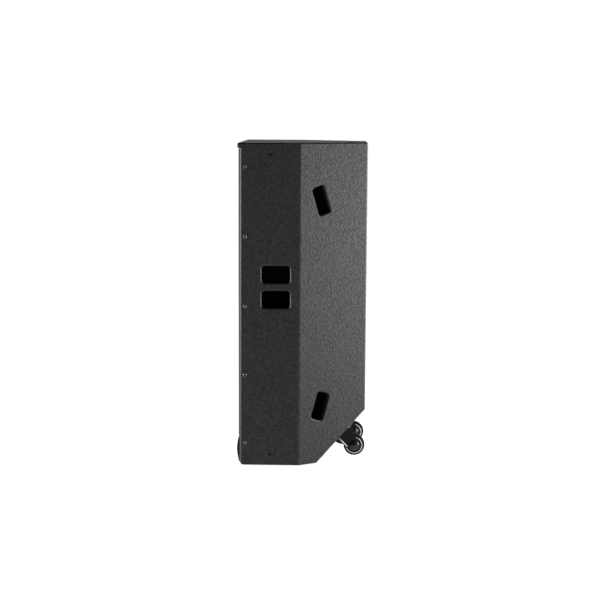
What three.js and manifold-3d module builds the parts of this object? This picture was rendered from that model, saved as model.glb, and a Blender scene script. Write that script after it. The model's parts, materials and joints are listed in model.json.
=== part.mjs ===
// A tall trapezoid loudspeaker cabinet with two rear transport casters, as separate pieces.
// Millimetres, +Z up, front faces -Y. While building, y is the distance behind the foremost point.
import * as THREE from 'three';
import { mergeVertices } from 'three/addons/utils/BufferGeometryUtils.js';
import Module from 'manifold-3d';

const wasm = await Module();
wasm.setup();

// Cabinet outline
const WIDTH = 560;
const REAR_WIDTH = 250;
const BUMPER_PROUD = 8.5;
const SIDE_DEPTH = 224;
const TAPER_DEPTH = 244.5;
const FOOT_HEIGHT = 6;
const CABINET_HEIGHT = 1190;
const WALL = 18;
const GAP = 0.3;
const CORNER_RADIUS = 8;
const EDGE_BEVEL = 3;
const TOP_LIP = 6.5;
const SLANT_START = 288;

// Grille, foam and baffle, measured back from the front edge of the sides
const GRILLE_SETBACK = 2.5;
const SHEET = 1.5;
const GRILLE_RETURN = 30;
const FOAM_THICKNESS = 8;
const FOAM_WIDTH = 510;
const BAFFLE_SETBACK = 45.5;
const SCREW_SETBACK = 22;
const SCREW_PITCH = 255;
const SCREW_COUNT = 5;
const SCREW_LENGTH = 22;
const SCREW_SHANK_RADIUS = 2.2;
const SCREW_HEAD_RADIUS = 4.2;
const SCREW_HEAD_HEIGHT = 2.2;

// Bar handles in the sides and hand slots in the tapered walls
const HANDLE_SETBACK = 134.5;
const HANDLE_HEIGHT = 672;
const HANDLE_OPENING = [103, 64];
const HANDLE_BAR = 28;
const HANDLE_CORNER = 11;
const CUP_WALL = 3;
const CUP_MARGIN = 4;
const CUP_FLANGE = 12;
const HANDLE_CUP_DEPTH = 74;
const SLOT_SIZE = [51, 104];
const SLOT_CORNER = 9;
const SLOT_ALONG = 90.5;
const SLOT_HALF_SPREAD = 383;
const SLOT_LIFT = 3;
const SLOT_TILT = THREE.MathUtils.degToRad(18);
const SLOT_CUP_DEPTH = 55;

// Rigging plugs, feet and front bumpers
const PLUG_SETBACK = 115.5;
const PLUG_FROM_END = 41;
const PLUG_HEAD_RADIUS = 6.5;
const PLUG_HEAD_HEIGHT = 4;
const PLUG_SHANK_RADIUS = 4;
const PLUG_LENGTH = 16;
const FOOT_RADIUS = 17;
const FOOT_CHAMFER = 2;
const FOOT_PLACES = [[220, 46], [212, 276]];
const BUMPER_HEIGHT = 99;
const BUMPER_WIDTH = 41;
const BUMPER_FROM_FLOOR = 15;

// Casters
const CASTER_X = 111;
const CASTER_ALONG = 128.6;
const AXLE_DROP = 70;
const WHEEL_RADIUS = 40;
const TYRE_INNER_RADIUS = 34.5;
const TYRE_HALF_WIDTH = 15;
const FORK_INNER = 18;
const FORK_SHEET = 2.5;
const GUSSET_HALF = 43;
const GUSSET_DROP = 38;
const LEG_HALF = 26.5;
const CASTER_PLATE = [66, 90, 3];
const AXLE_RADIUS = 4;
const AXLE_CLEARANCE = 0.5;

// Drive units
const WOOFER_RADIUS = 194;
const WOOFER_HOLE_RADIUS = 178;
const WOOFER_HEIGHTS = { lower: 233, upper: 969 };
const HORN_MOUTH = [380, 306];
const HORN_FLANGE = [420, 330];
const HORN_DEPTH = 168;
const PORT_RADIUS = 40;
const PORT_X = 208;
const PORT_FROM_END = 72;

// Rear connection panel
const DISH_HEIGHT = 640;
const DISH_SIZE = [150, 120];
const DISH_FLANGE = 13;
const DISH_DEPTH = 40;
const DISH_WALL = 2;
const SOCKET_X = [-42, 6];
const SWITCH_X = 50;
const SWITCH_RADIUS = 10;

// Derived places
const FRONT = BUMPER_PROUD;
const CREASE = FRONT + SIDE_DEPTH;
const BACK = CREASE + TAPER_DEPTH;
const HALF = WIDTH / 2;
const REAR_HALF = REAR_WIDTH / 2;
const BASE = FOOT_HEIGHT;
const TOP = BASE + CABINET_HEIGHT;
const MIDDLE = (BASE + TOP) / 2;
const TAPER_LENGTH = Math.hypot(HALF - REAR_HALF, TAPER_DEPTH);
const TAPER_ALONG = [-(HALF - REAR_HALF) / TAPER_LENGTH, TAPER_DEPTH / TAPER_LENGTH];
const TAPER_NORMAL = [TAPER_ALONG[1], -TAPER_ALONG[0]];
const SLANT_Y = FRONT + SLANT_START;
const GRILLE_FRONT = FRONT + GRILLE_SETBACK;
const BAFFLE_FRONT = FRONT + BAFFLE_SETBACK;
const HANDLE_Y = FRONT + HANDLE_SETBACK;
const FAR = 3000;

const finish = (name, color, roughness, metalness) => () =>
  new THREE.MeshStandardMaterial({ name, color, roughness, metalness });
const MATERIALS = {
  coating: finish('textured_coating', 0x232524, 0.85, 0),
  grille: finish('grille_steel', 0x1b1c1d, 0.5, 0.6),
  foam: finish('foam', 0x0e0e0e, 1, 0),
  steel: finish('plated_steel', 0x8c8f92, 0.35, 0.9),
  blackSteel: finish('black_steel', 0x202224, 0.4, 0.7),
  plastic: finish('moulded_plastic', 0x17181a, 0.6, 0),
  rubber: finish('rubber', 0x121212, 0.9, 0),
  hub: finish('wheel_hub', 0x3b3d40, 0.45, 0),
  paper: finish('cone_paper', 0x1a1a1b, 0.9, 0),
  basket: finish('cast_basket', 0x2b2c2e, 0.5, 0.7),
  board: finish('circuit_board', 0x1f4a2c, 0.6, 0),
};

// Manifold helpers

function solid(geometry) {
  const plain = geometry.clone();
  plain.deleteAttribute('normal');
  plain.deleteAttribute('uv');
  const merged = mergeVertices(plain, 1e-4);
  return new wasm.Manifold(new wasm.Mesh({
    numProp: 3,
    vertProperties: new Float32Array(merged.attributes.position.array),
    triVerts: new Uint32Array(merged.index.array),
  }));
}

function toGeometry(body) {
  const data = body.getMesh();
  const geometry = new THREE.BufferGeometry();
  geometry.setAttribute('position', new THREE.BufferAttribute(data.vertProperties, 3));
  geometry.setIndex(new THREE.BufferAttribute(data.triVerts, 1));
  const flat = geometry.toNonIndexed();
  flat.computeVertexNormals();
  return flat;
}

function piece(name, body, material) {
  const mesh = new THREE.Mesh(toGeometry(body), material());
  mesh.name = name;
  return mesh;
}

const union = (bodies) => bodies.reduce((whole, body) => whole.add(body));
const carve = (body, cutters) => cutters.reduce((left, cutter) => left.subtract(cutter), body);

// Shape helpers

function outline(points) {
  return new THREE.Shape(points.map(([a, b]) => new THREE.Vector2(a, b)));
}

function roundedOutline(points, radius) {
  const corners = points.map(([a, b]) => new THREE.Vector2(a, b));
  const shape = new THREE.Shape();
  corners.forEach((corner, i) => {
    const before = corners[(i + corners.length - 1) % corners.length];
    const after = corners[(i + 1) % corners.length];
    const start = corner.clone().add(before.clone().sub(corner).setLength(radius));
    const end = corner.clone().add(after.clone().sub(corner).setLength(radius));
    if (i === 0) {
      shape.moveTo(start.x, start.y);
    } else {
      shape.lineTo(start.x, start.y);
    }
    shape.quadraticCurveTo(corner.x, corner.y, end.x, end.y);
  });
  return shape;
}

function rectangle(width, height, radius) {
  const [w, h] = [width / 2, height / 2];
  return roundedOutline([[-w, -h], [w, -h], [w, h], [-w, h]], radius);
}

function extrude(shape, depth, curveSegments = 3) {
  return new THREE.ExtrudeGeometry(shape, { depth, bevelEnabled: false, curveSegments });
}

// Stands a shape drawn as (y, z) on a plane of constant x and gives it thickness towards +x.
function alongX(shape, from, to, curveSegments) {
  const basis = new THREE.Matrix4().makeBasis(
    new THREE.Vector3(0, 1, 0),
    new THREE.Vector3(0, 0, 1),
    new THREE.Vector3(1, 0, 0),
  );
  return extrude(shape, to - from, curveSegments).applyMatrix4(basis).translate(from, 0, 0);
}

// Stands a shape drawn as (x, z) on a plane of constant y and gives it thickness from `from` to `to`.
function alongY(shape, from, to, curveSegments) {
  return extrude(shape, to - from, curveSegments).rotateX(Math.PI / 2).translate(0, to, 0);
}

function box(x, y, z) {
  const geometry = new THREE.BoxGeometry(x[1] - x[0], y[1] - y[0], z[1] - z[0]);
  return solid(geometry.translate((x[0] + x[1]) / 2, (y[0] + y[1]) / 2, (z[0] + z[1]) / 2));
}

// Turns a closed (radius, height) profile, in either order; the axis is +Y until it is turned.
function turned(profile, segments) {
  const points = profile.map(([radius, height]) => new THREE.Vector2(radius, height));
  if (THREE.ShapeUtils.isClockWise(points)) {
    points.reverse();
  }
  const onAxis = points[0].x === 0 && points.at(-1).x === 0;
  if (!onAxis) {
    points.push(points[0].clone());
  }
  return new THREE.LatheGeometry(points, segments);
}

function rod(radius, from, to, segments = 16) {
  return turned([[0, from], [radius, from], [radius, to], [0, to]], segments);
}

const turnToX = (geometry) => geometry.rotateZ(-Math.PI / 2);
const turnToFront = (geometry) => geometry.rotateZ(Math.PI);
const turnToZ = (geometry) => geometry.rotateX(Math.PI / 2);

// Copies a right-hand body to the side given by sign (1 keeps it, -1 mirrors it).
const onSide = (body, sign) => (sign > 0 ? body : body.mirror([1, 0, 0]));
const SIDES = [['right', 1], ['left', -1]];

// Cabinet shell

const planOutline = (front) => [
  [-HALF, front], [HALF, front], [HALF, CREASE],
  [REAR_HALF, BACK], [-REAR_HALF, BACK], [-HALF, CREASE],
];

function belowSlant(inset) {
  const shift = inset * Math.SQRT2;
  const points = [[SLANT_Y - shift, BASE], [SLANT_Y - shift + FAR, BASE + FAR],
    [SLANT_Y + 2 * FAR, BASE], [SLANT_Y + FAR, BASE - FAR], [SLANT_Y - shift - FAR, BASE - FAR]];
  return solid(alongX(outline(points), -WIDTH, WIDTH));
}

function envelope(front) {
  const geometry = new THREE.ExtrudeGeometry(roundedOutline(planOutline(front), CORNER_RADIUS), {
    depth: CABINET_HEIGHT - 2 * EDGE_BEVEL,
    bevelThickness: EDGE_BEVEL,
    bevelSize: EDGE_BEVEL,
    bevelOffset: -EDGE_BEVEL,
    bevelSegments: 2,
    curveSegments: 4,
  });
  return solid(geometry.translate(0, 0, BASE + EDGE_BEVEL)).subtract(belowSlant(0));
}

// Corner of the inner faces at the crease and at the back, for a wall of the given thickness.
function innerCorners(thickness) {
  const x = HALF - thickness;
  const y = CREASE - (thickness - TAPER_NORMAL[0] * thickness) / TAPER_NORMAL[1];
  const backY = BACK - thickness;
  const backX = HALF - (thickness + TAPER_NORMAL[1] * (backY - CREASE)) / TAPER_NORMAL[0];
  return { crease: [x, y], back: [backX, backY] };
}

// A wall from one mitred end to the other, its ends drawn in by half a gap.
function wallPrism(outerStart, outerEnd, innerEnd, innerStart, bottom, top) {
  const along = new THREE.Vector2(outerEnd[0] - outerStart[0], outerEnd[1] - outerStart[1]);
  along.setLength(GAP / 2);
  const forward = ([a, b]) => [a + along.x, b + along.y];
  const backward = ([a, b]) => [a - along.x, b - along.y];
  const points = [forward(outerStart), backward(outerEnd), backward(innerEnd), forward(innerStart)];
  return solid(extrude(outline(points), top - bottom).translate(0, 0, bottom));
}

const shellOuter = envelope(FRONT);
const inner = innerCorners(WALL);
const wallBottom = BASE + WALL + GAP;
const wallTop = TOP - WALL - GAP;

function handleOpenings() {
  const rise = (HANDLE_OPENING[1] + HANDLE_BAR) / 2;
  return [-rise, rise].map((dz) => {
    const shape = rectangle(HANDLE_OPENING[0], HANDLE_OPENING[1], HANDLE_CORNER);
    const cutter = alongX(shape, HALF - 2 * WALL, HALF + WALL, 3);
    return solid(cutter.translate(0, HANDLE_Y, HANDLE_HEIGHT + dz));
  });
}

const screwHeights = Array.from(
  { length: SCREW_COUNT },
  (_, i) => MIDDLE + (i - (SCREW_COUNT - 1) / 2) * SCREW_PITCH,
);
const screwY = FRONT + SCREW_SETBACK;
const plugHeights = { lower: BASE + PLUG_FROM_END, upper: TOP - PLUG_FROM_END };
const plugY = FRONT + PLUG_SETBACK;

// A headed pin whose head is flush with x = surface and whose shank points inwards.
function flushPin(headRadius, headHeight, shankRadius, length, grow, segments, surface) {
  const profile = [
    [0, grow], [headRadius + grow, grow], [headRadius + grow, -headHeight - grow],
    [shankRadius + grow, -headHeight - grow], [shankRadius + grow, -length - grow], [0, -length - grow],
  ];
  return turnToX(turned(profile, segments)).translate(surface, 0, 0);
}

const screwBody = (grow) => flushPin(
  SCREW_HEAD_RADIUS, SCREW_HEAD_HEIGHT, SCREW_SHANK_RADIUS, SCREW_LENGTH, grow, 8, HALF - GAP,
);
const plugBody = (grow) => flushPin(
  PLUG_HEAD_RADIUS, PLUG_HEAD_HEIGHT, PLUG_SHANK_RADIUS, PLUG_LENGTH, grow, 12, HALF - GAP,
);

function sidePins(grow) {
  const screws = screwHeights.map((z) => solid(screwBody(grow).translate(0, screwY, z)));
  const plugs = Object.values(plugHeights).map((z) => solid(plugBody(grow).translate(0, plugY, z)));
  return [...screws, ...plugs];
}

function sidePanel() {
  const start = FRONT - GAP / 2;
  const ends = [[HALF, start], [HALF, CREASE], inner.crease, [HALF - WALL, start]];
  const wall = wallPrism(...ends, wallBottom, wallTop);
  return carve(wall.intersect(shellOuter), [...handleOpenings(), ...sidePins(GAP)]);
}

// Places a body drawn on the outer face of the right tapered wall: x along it, y up, z outwards.
function onTaper(body, along, height) {
  const matrix = new THREE.Matrix4().makeBasis(
    new THREE.Vector3(TAPER_ALONG[0], TAPER_ALONG[1], 0),
    new THREE.Vector3(0, 0, 1),
    new THREE.Vector3(TAPER_NORMAL[0], TAPER_NORMAL[1], 0),
  );
  matrix.setPosition(HALF + TAPER_ALONG[0] * along, CREASE + TAPER_ALONG[1] * along, height);
  return body.transform(matrix.elements);
}

const slotPlaces = [
  ['upper', MIDDLE + SLOT_LIFT + SLOT_HALF_SPREAD, SLOT_TILT],
  ['lower', MIDDLE + SLOT_LIFT - SLOT_HALF_SPREAD, -SLOT_TILT],
];

function slotPrism(grow, from, to, tilt) {
  const shape = rectangle(SLOT_SIZE[0] + 2 * grow, SLOT_SIZE[1] + 2 * grow, SLOT_CORNER);
  return solid(extrude(shape, to - from).translate(0, 0, from).rotateZ(tilt));
}

function taperPanel() {
  const wall = wallPrism([HALF, CREASE], [REAR_HALF, BACK], inner.back, inner.crease, wallBottom, wallTop);
  const slots = slotPlaces.map(([, height, tilt]) =>
    onTaper(slotPrism(0, -2 * WALL, WALL, tilt), SLOT_ALONG, height));
  return carve(wall.intersect(shellOuter), slots);
}

function dishHole(grow, from, to) {
  return solid(alongY(rectangle(DISH_SIZE[0] + 2 * grow, DISH_SIZE[1] + 2 * grow, 8), from, to)
    .translate(0, 0, DISH_HEIGHT));
}

function backPanel() {
  const wall = wallPrism([REAR_HALF, BACK], [-REAR_HALF, BACK], [-inner.back[0], inner.back[1]], inner.back,
    wallBottom, wallTop);
  const holes = [
    dishHole(GAP, BACK - 2 * WALL, BACK + WALL),
    dishHole(DISH_FLANGE + GAP, BACK - DISH_WALL - GAP, BACK + WALL),
  ];
  return carve(wall.intersect(shellOuter), holes);
}

function slantPanel() {
  const fit = innerCorners(WALL + GAP);
  const points = [[-fit.crease[0], FRONT], [fit.crease[0], FRONT], fit.crease,
    fit.back, [-fit.back[0], fit.back[1]], [-fit.crease[0], fit.crease[1]]];
  const room = solid(extrude(outline(points), wallTop - wallBottom).translate(0, 0, wallBottom));
  return room.intersect(belowSlant(WALL)).subtract(belowSlant(0));
}

function levelPanel(front, bottom) {
  const slab = box([-WIDTH, WIDTH], [-WALL, BACK + WALL], [bottom, bottom + WALL]);
  return envelope(front).intersect(slab);
}

// Front: baffle, grille, foam

const innerHalf = HALF - WALL - GAP;

function baffleBoard() {
  const board = box([-innerHalf, innerHalf], [BAFFLE_FRONT, BAFFLE_FRONT + WALL], [wallBottom, wallTop]);
  const through = (radius, x, z, segments) => solid(turnToFront(rod(radius, -WALL, WALL, segments))
    .translate(x, BAFFLE_FRONT + WALL / 2, z));
  const drivers = Object.values(WOOFER_HEIGHTS).map((z) => through(WOOFER_HOLE_RADIUS, 0, z, 28));
  const portHeights = [wallBottom + PORT_FROM_END - WALL, wallTop - PORT_FROM_END + WALL];
  const ports = [-PORT_X, PORT_X].flatMap((x) => portHeights.map((z) => through(PORT_RADIUS, x, z, 16)));
  const horn = solid(alongY(rectangle(HORN_MOUTH[0] + 12, HORN_MOUTH[1] + 6, 20), BAFFLE_FRONT - WALL,
    BAFFLE_FRONT + 2 * WALL).translate(0, 0, MIDDLE));
  return carve(board, [...drivers, ...ports, horn]);
}

function grillePanel() {
  const sheet = box([-innerHalf, innerHalf], [GRILLE_FRONT, GRILLE_FRONT + SHEET], [wallBottom, wallTop]);
  const flanges = [-1, 1].map((sign) => {
    const edges = [sign * innerHalf, sign * (innerHalf - SHEET)].sort((a, b) => a - b);
    return box(edges, [GRILLE_FRONT, GRILLE_FRONT + GRILLE_RETURN], [wallBottom, wallTop]);
  });
  const holes = SIDES.flatMap(([, sign]) => screwHeights.map((z) =>
    onSide(solid(screwBody(GAP).translate(0, screwY, z)), sign)));
  return carve(union([sheet, ...flanges]), holes);
}

function foamSheet() {
  const front = GRILLE_FRONT + SHEET + GAP;
  const heights = [wallBottom + 2, wallTop - 2];
  return box([-FOAM_WIDTH / 2, FOAM_WIDTH / 2], [front, front + FOAM_THICKNESS], heights);
}

// Handle cup and slot cup: a hollow box open to the outside, with a flange glued behind the wall

function cupShell(size, corner, depth, tilt) {
  const grown = (extra) => rectangle(size[0] + 2 * extra, size[1] + 2 * extra, corner);
  const top = -WALL - GAP;
  const block = (extra, from, to) => solid(extrude(grown(extra), to - from).translate(0, 0, from));
  const outer = block(CUP_MARGIN + CUP_WALL, top - depth, top);
  const flange = block(CUP_MARGIN + CUP_FLANGE, top - CUP_WALL, top);
  const hollow = block(CUP_MARGIN, top - depth + CUP_WALL, top + WALL);
  return outer.add(flange).subtract(hollow).rotate([0, 0, THREE.MathUtils.radToDeg(tilt)]);
}

function handleCup() {
  const size = [HANDLE_OPENING[0], 2 * HANDLE_OPENING[1] + HANDLE_BAR];
  const matrix = new THREE.Matrix4().makeBasis(
    new THREE.Vector3(0, 1, 0),
    new THREE.Vector3(0, 0, 1),
    new THREE.Vector3(1, 0, 0),
  );
  matrix.setPosition(HALF, HANDLE_Y, HANDLE_HEIGHT);
  return cupShell(size, HANDLE_CORNER, HANDLE_CUP_DEPTH, 0).transform(matrix.elements);
}

// Small parts on the outside

function rubberFoot() {
  const profile = [
    [0, 0], [FOOT_RADIUS - FOOT_CHAMFER, 0], [FOOT_RADIUS, FOOT_CHAMFER],
    [FOOT_RADIUS, FOOT_HEIGHT - GAP], [0, FOOT_HEIGHT - GAP],
  ];
  return solid(turnToZ(turned(profile, 16)));
}

function frontBumper() {
  const half = BUMPER_HEIGHT / 2;
  const radius = (half ** 2 + BUMPER_PROUD ** 2) / (2 * BUMPER_PROUD);
  const swing = Math.asin(half / radius);
  const shape = new THREE.Shape();
  shape.absarc(radius, 0, radius, Math.PI - swing, Math.PI + swing, false);
  const body = alongX(shape, HALF - 1 - BUMPER_WIDTH, HALF - 1, 14);
  const kept = box([0, HALF], [-1, BUMPER_PROUD - GAP], [-half, half]);
  return solid(body).intersect(kept).translate([0, 0, BUMPER_FROM_FLOOR + half]);
}

function rigPlug() {
  const socket = new THREE.CylinderGeometry(3.2, 3.2, 6, 6);
  return solid(plugBody(0)).subtract(solid(turnToX(socket).translate(HALF, 0, 0)));
}

// Casters, drawn with +Z away from the slanted panel

function casterBracket() {
  const [width, length, thickness] = CASTER_PLATE;
  const plate = solid(extrude(rectangle(width, length, 6), thickness).translate(0, 0, GAP));
  const legShape = new THREE.Shape();
  legShape.moveTo(-GUSSET_HALF, thickness / 2);
  legShape.lineTo(GUSSET_HALF, thickness / 2);
  legShape.lineTo(LEG_HALF, GUSSET_DROP);
  legShape.lineTo(LEG_HALF, AXLE_DROP);
  legShape.absarc(0, AXLE_DROP, LEG_HALF, 0, Math.PI, false);
  legShape.lineTo(-LEG_HALF, GUSSET_DROP);
  const leg = solid(alongX(legShape, FORK_INNER, FORK_INNER + FORK_SHEET, 6));
  const bore = solid(turnToX(rod(AXLE_RADIUS + GAP, -width, width)).translate(0, 0, AXLE_DROP));
  return union([plate, leg, onSide(leg, -1)]).subtract(bore);
}

function casterAxle() {
  const reach = FORK_INNER + FORK_SHEET + GAP;
  const shank = solid(turnToX(rod(AXLE_RADIUS, -reach - 1, reach + 1)));
  const heads = [-1, 1].map((sign) => solid(turnToX(new THREE.CylinderGeometry(7.5, 7.5, 5, 6))
    .translate(sign * (reach + 2.5), 0, 0)));
  return union([shank, ...heads]);
}

function wheelHub() {
  const rim = TYRE_INNER_RADIUS - GAP;
  const bore = AXLE_RADIUS + AXLE_CLEARANCE;
  const profile = [
    [bore, -16], [11, -16], [13, -6], [rim - 5, -6], [rim - 3, -14], [rim, -14],
    [rim, 14], [rim - 3, 14], [rim - 5, 6], [13, 6], [11, 16], [bore, 16],
  ];
  return solid(turnToX(turned(profile, 22)));
}

function wheelTyre() {
  const profile = [
    [TYRE_INNER_RADIUS, -TYRE_HALF_WIDTH], [WHEEL_RADIUS - 3, -TYRE_HALF_WIDTH],
    [WHEEL_RADIUS - 0.8, -TYRE_HALF_WIDTH + 3], [WHEEL_RADIUS, -TYRE_HALF_WIDTH + 8],
    [WHEEL_RADIUS, TYRE_HALF_WIDTH - 8], [WHEEL_RADIUS - 0.8, TYRE_HALF_WIDTH - 3],
    [WHEEL_RADIUS - 3, TYRE_HALF_WIDTH], [TYRE_INNER_RADIUS, TYRE_HALF_WIDTH],
  ];
  return solid(turnToX(turned(profile, 30)));
}

// Woofers, drawn on the axis with height counted forwards from the baffle

const WOOFER_SEGMENTS = 22;
const turnWoofer = (profile) => solid(turnToFront(turned(profile, WOOFER_SEGMENTS)));

function wooferBasket() {
  const shell = turnWoofer([
    [176, 0], [176, GAP], [WOOFER_RADIUS, GAP], [WOOFER_RADIUS, 6], [172, 6], [172, -4],
    [108, -84], [62, -84], [62, -88], [111, -88],
  ]);
  const windows = [0, 1, 2, 3, 4, 5].map((i) => solid(new THREE.CylinderGeometry(24, 24, 90, 6)
    .rotateX(Math.PI / 2).translate(0, 46, 140).rotateY((i * Math.PI) / 3)));
  return carve(shell, windows);
}

function wooferCone() {
  return turnWoofer([
    [0, -38], [26, -43], [52, -64], [162, 6], [165.5, 6], [165.5, 4], [51, -68],
    [51, -98], [49, -98], [49, -62], [26, -46], [0, -41],
  ]);
}

function wooferSurround() {
  return turnWoofer([
    [166, 6.3], [169, 12.5], [177, 15.5], [185, 11], [192, 8], [192, 6.4],
    [184, 6.4], [177, 13.5], [170, 9],
  ]);
}

function wooferMagnet() {
  return turnWoofer([
    [0, -136], [100, -136], [100, -128], [110, -126], [110, -98], [100, -96], [100, -88.3],
    [54, -88.3], [54, -112], [46, -112], [46, -84], [0, -84],
  ]);
}

// Horn and compression driver

function hornFlare() {
  const steps = 5;
  const profileAt = (offset) => Array.from({ length: steps }, (_, i) => {
    const share = i / (steps - 1);
    const radius = 26 + (HORN_MOUTH[1] / 2 - 4 - 26) * share ** 1.7;
    return [radius + offset, HORN_DEPTH * (share - 1) + 3];
  });
  const profile = [...profileAt(0), ...profileAt(4).reverse()];
  const stretch = HORN_MOUTH[0] / HORN_MOUTH[1];
  const flare = solid(turnToFront(turned(profile, 24)).scale(stretch, 1, 1));
  const flange = solid(alongY(rectangle(HORN_FLANGE[0], HORN_FLANGE[1], 14), -6 - GAP, -GAP));
  const mouth = solid(turnToFront(rod(HORN_MOUTH[1] / 2 - 3, -20, 20, 24)).scale(stretch, 1, 1));
  const collarRing = [
    [27, -HORN_DEPTH + 2], [40, -HORN_DEPTH + 2], [40, -HORN_DEPTH + 10], [27, -HORN_DEPTH + 10],
  ];
  const collar = solid(turnToFront(turned(collarRing, 24)).scale(stretch, 1, 1));
  return union([flare, flange.subtract(mouth), collar]);
}

function compressionDriver() {
  const start = -HORN_DEPTH + 2 - GAP;
  return solid(turnToFront(turned([
    [0, start - 78], [52, start - 78], [60, start - 70], [60, start - 48], [76, start - 46],
    [76, start - 12], [62, start - 10], [62, start], [25, start], [25, start - 8], [0, start - 8],
  ], 20)));
}

// Rear connection panel

const dishFloor = BACK - DISH_DEPTH;

function connectionDish() {
  const flangeShape = rectangle(DISH_SIZE[0] + 2 * DISH_FLANGE, DISH_SIZE[1] + 2 * DISH_FLANGE, 8);
  const flange = solid(alongY(flangeShape, BACK - DISH_WALL, BACK).translate(0, 0, DISH_HEIGHT));
  const body = dishHole(0, dishFloor - DISH_WALL, BACK);
  const hollow = dishHole(-DISH_WALL, dishFloor, BACK + WALL);
  const bores = [...SOCKET_X.map((x) => [x, 13]), [SWITCH_X, 3 + GAP]].map(([x, radius]) =>
    solid(turnToFront(rod(radius, -WALL, WALL, 20)).translate(x, dishFloor, DISH_HEIGHT)));
  return carve(flange.add(body), [hollow, ...bores]);
}

function speakerSocket() {
  return solid(turned([
    [0, -18], [12.5, -18], [12.5, GAP], [17, GAP], [17, 3], [12, 3], [12, -12], [5, -12], [5, 0], [0, 0],
  ], 18));
}

function modeSwitch() {
  const knob = turned([
    [0, -10], [3, -10], [3, 2], [SWITCH_RADIUS, 2], [SWITCH_RADIUS - 1, 14], [0, 14],
  ], 20);
  const pointer = box([-1.5, 1.5], [13, 16], [-1, SWITCH_RADIUS - 1.5]);
  return solid(knob).add(pointer);
}

function crossoverBoard() {
  const board = box([-90, 90], [0, 100], [0, 2.5]);
  const coil = (x, radius) => solid(turnToZ(turned([[9, 2], [radius, 2], [radius, 34], [9, 34]], 20))
    .translate(x, 50, 0));
  const capacitors = [20, 45, 70].map((y) => box([-12, 30], [y, y + 18], [2, 20]));
  return union([board, coil(-55, 26), coil(62, 24), ...capacitors]);
}

// Assembly

const cabinet = new THREE.Group();
cabinet.name = 'cabinet_group';
cabinet.position.y = -BACK / 2;

cabinet.add(
  piece('top_panel', levelPanel(FRONT - TOP_LIP, TOP - WALL), MATERIALS.coating),
  piece('bottom_panel', levelPanel(FRONT, BASE), MATERIALS.coating),
  piece('back_panel', backPanel(), MATERIALS.coating),
  piece('slant_panel', slantPanel(), MATERIALS.coating),
  piece('baffle_board', baffleBoard(), MATERIALS.coating),
  piece('grille', grillePanel(), MATERIALS.grille),
  piece('grille_foam', foamSheet(), MATERIALS.foam),
);

for (const [side, sign] of SIDES) {
  cabinet.add(
    piece(`side_panel_${side}`, onSide(sidePanel(), sign), MATERIALS.coating),
    piece(`taper_panel_${side}`, onSide(taperPanel(), sign), MATERIALS.coating),
    piece(`handle_cup_${side}`, onSide(handleCup(), sign), MATERIALS.plastic),
    piece(`front_bumper_${side}`, onSide(frontBumper(), sign), MATERIALS.rubber),
  );
  for (const [level, height, tilt] of slotPlaces) {
    const cup = onTaper(cupShell(SLOT_SIZE, SLOT_CORNER, SLOT_CUP_DEPTH, tilt), SLOT_ALONG, height);
    cabinet.add(piece(`slot_cup_${side}_${level}`, onSide(cup, sign), MATERIALS.plastic));
  }
  screwHeights.forEach((height, i) => {
    const body = onSide(solid(screwBody(0)), sign);
    const screw = piece(`grille_screw_${side}_${i + 1}`, body, MATERIALS.steel);
    screw.position.set(0, screwY, height);
    cabinet.add(screw);
  });
  for (const [level, height] of Object.entries(plugHeights)) {
    const plug = piece(`rigging_plug_${side}_${level}`, onSide(rigPlug(), sign), MATERIALS.blackSteel);
    plug.position.set(0, plugY, height);
    cabinet.add(plug);
  }
  FOOT_PLACES.forEach(([x, y], i) => {
    const foot = piece(`foot_${side}_${i === 0 ? 'front' : 'rear'}`, rubberFoot(), MATERIALS.rubber);
    foot.position.set(sign * x, y, 0);
    cabinet.add(foot);
  });

  const caster = new THREE.Group();
  caster.name = `caster_group_${side}`;
  caster.position.set(
    sign * CASTER_X,
    SLANT_Y + CASTER_ALONG * Math.SQRT1_2,
    BASE + CASTER_ALONG * Math.SQRT1_2,
  );
  caster.rotation.x = (-3 * Math.PI) / 4;
  caster.add(piece(`caster_bracket_${side}`, casterBracket(), MATERIALS.blackSteel));
  const turningParts = [
    piece(`caster_axle_${side}`, casterAxle(), MATERIALS.steel),
    piece(`wheel_hub_${side}`, wheelHub(), MATERIALS.hub),
    piece(`wheel_tyre_${side}`, wheelTyre(), MATERIALS.rubber),
  ];
  for (const part of turningParts) {
    part.position.z = AXLE_DROP;
    caster.add(part);
  }
  cabinet.add(caster);
}

for (const [level, height] of Object.entries(WOOFER_HEIGHTS)) {
  const woofer = new THREE.Group();
  woofer.name = `woofer_group_${level}`;
  woofer.position.set(0, BAFFLE_FRONT, height);
  woofer.add(
    piece(`woofer_basket_${level}`, wooferBasket(), MATERIALS.basket),
    piece(`woofer_cone_${level}`, wooferCone(), MATERIALS.paper),
    piece(`woofer_surround_${level}`, wooferSurround(), MATERIALS.rubber),
    piece(`woofer_magnet_${level}`, wooferMagnet(), MATERIALS.blackSteel),
  );
  cabinet.add(woofer);
}

const treble = new THREE.Group();
treble.name = 'treble_group';
treble.position.set(0, BAFFLE_FRONT, MIDDLE);
treble.add(
  piece('horn_flare', hornFlare(), MATERIALS.plastic),
  piece('compression_driver', compressionDriver(), MATERIALS.blackSteel),
);
cabinet.add(treble);

cabinet.add(piece('connection_dish', connectionDish(), MATERIALS.blackSteel));
SOCKET_X.forEach((x, i) => {
  const socket = piece(`speaker_socket_${i + 1}`, speakerSocket(), MATERIALS.plastic);
  socket.position.set(x, dishFloor, DISH_HEIGHT);
  cabinet.add(socket);
});
const selector = piece('mode_switch', modeSwitch(), MATERIALS.plastic);
selector.position.set(SWITCH_X, dishFloor, DISH_HEIGHT);
cabinet.add(selector);

const crossover = piece('crossover_board', crossoverBoard(), MATERIALS.board);
crossover.position.set(0, CREASE - 50, wallBottom + GAP);
cabinet.add(crossover);

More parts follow.
